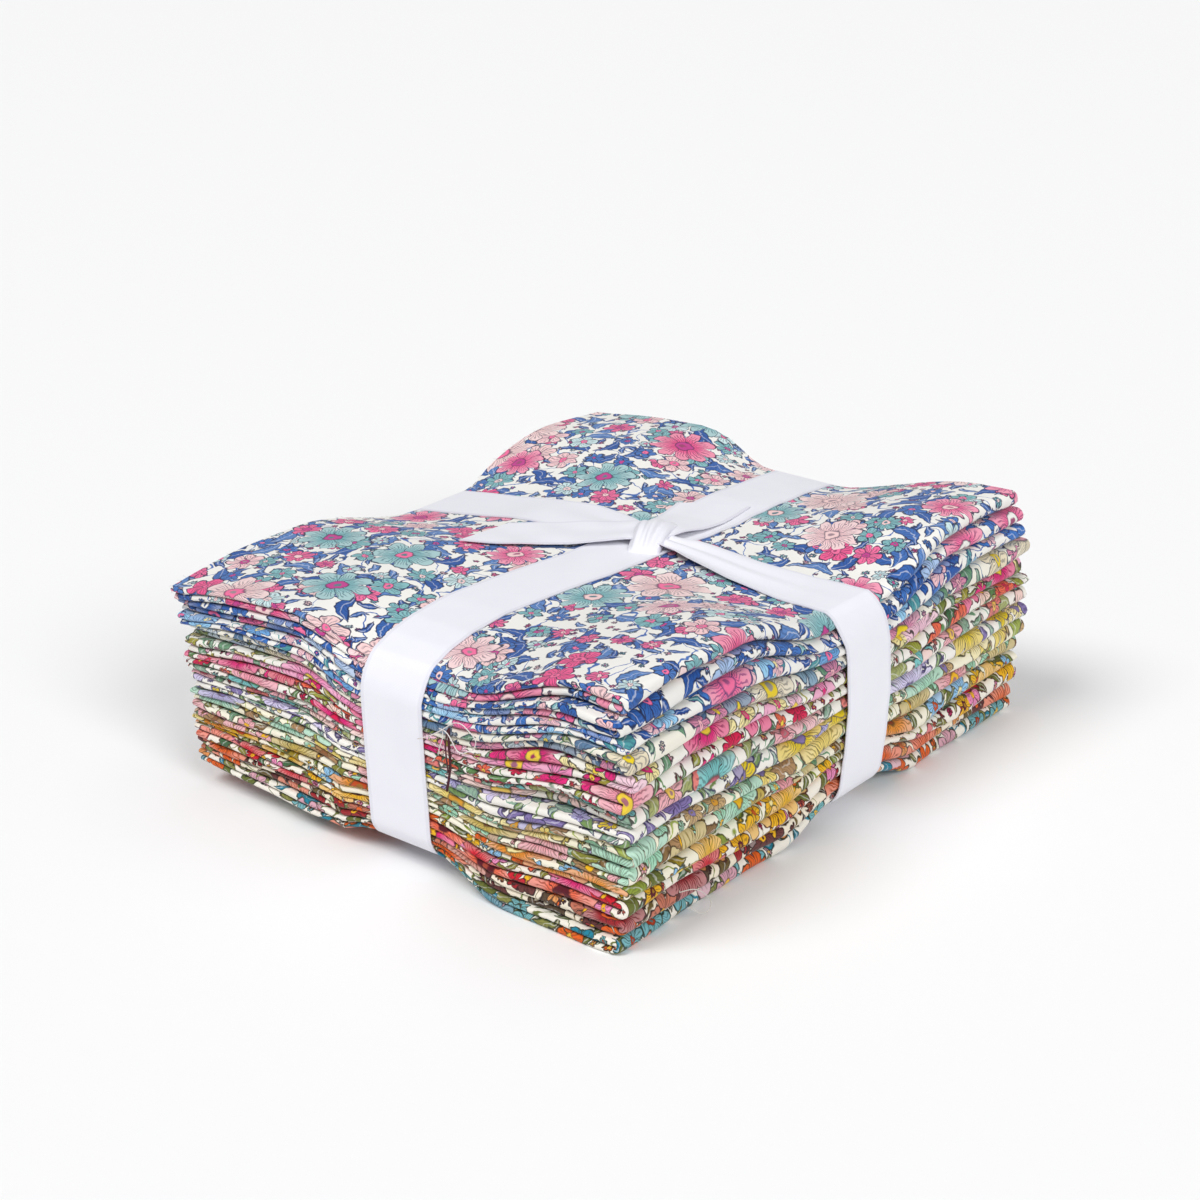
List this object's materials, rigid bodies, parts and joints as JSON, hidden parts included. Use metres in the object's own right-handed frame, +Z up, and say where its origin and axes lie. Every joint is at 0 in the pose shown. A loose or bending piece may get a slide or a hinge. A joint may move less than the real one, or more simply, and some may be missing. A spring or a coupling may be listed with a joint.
{
  "type": "fat quarter bundle",
  "caption": "Stack of folded cotton fat quarters in floral prints, tied crosswise with a flat white ribbon knotted on top.",
  "frame": {"origin": "centre of the bounding box in plan, on the surface that the bundle lies on", "axes": "+Z up, +Y along the letter folds, the long side, +X across them towards the big rounded folds; the half folds face -Y"},
  "size_m": [0.1914, 0.2274, 0.0836],
  "materials": {
    "blue_and_pink": "fine cotton lawn, matt, floral print in blues and pinks on white",
    "royal_blue": "fine cotton lawn, matt, floral print in royal blue on white",
    "sky_blue": "fine cotton lawn, matt, floral print in sky blue on white",
    "steel_blue": "fine cotton lawn, matt, floral print in steel blue on cream",
    "pink_and_olive": "fine cotton lawn, matt, floral print in pink and olive on white",
    "crimson": "fine cotton lawn, matt, floral print in crimson and green on white",
    "rose_and_sage": "fine cotton lawn, matt, floral print in rose and sage on white",
    "lavender": "fine cotton lawn, matt, floral print in lavender and purple on white",
    "primrose": "fine cotton lawn, matt, floral print in primrose and lavender on cream",
    "tan_and_mint": "fine cotton lawn, matt, floral print in tan and mint on cream",
    "mustard": "fine cotton lawn, matt, floral print in mustard and olive on white",
    "red": "fine cotton lawn, matt, floral print in red and mustard on white",
    "russet": "fine cotton lawn, matt, floral print in dark russet and orange on cream",
    "teal_and_rust": "fine cotton lawn, matt, floral print in teal, olive and rust on white",
    "ribbon": "smooth flat polyester tape, slight sheen, bare"
  },
  "bodies": {
    "root": {"fat_quarter_01": "blue_and_pink", "fat_quarter_02": "royal_blue", "fat_quarter_03": "sky_blue", "fat_quarter_04": "steel_blue", "fat_quarter_05": "pink_and_olive", "fat_quarter_06": "crimson", "fat_quarter_07": "rose_and_sage", "fat_quarter_08": "lavender", "fat_quarter_09": "primrose", "fat_quarter_10": "tan_and_mint", "fat_quarter_11": "mustard", "fat_quarter_12": "red", "fat_quarter_13": "russet", "fat_quarter_14": "teal_and_rust", "ribbon": "ribbon"}
  },
  "joints": []
}
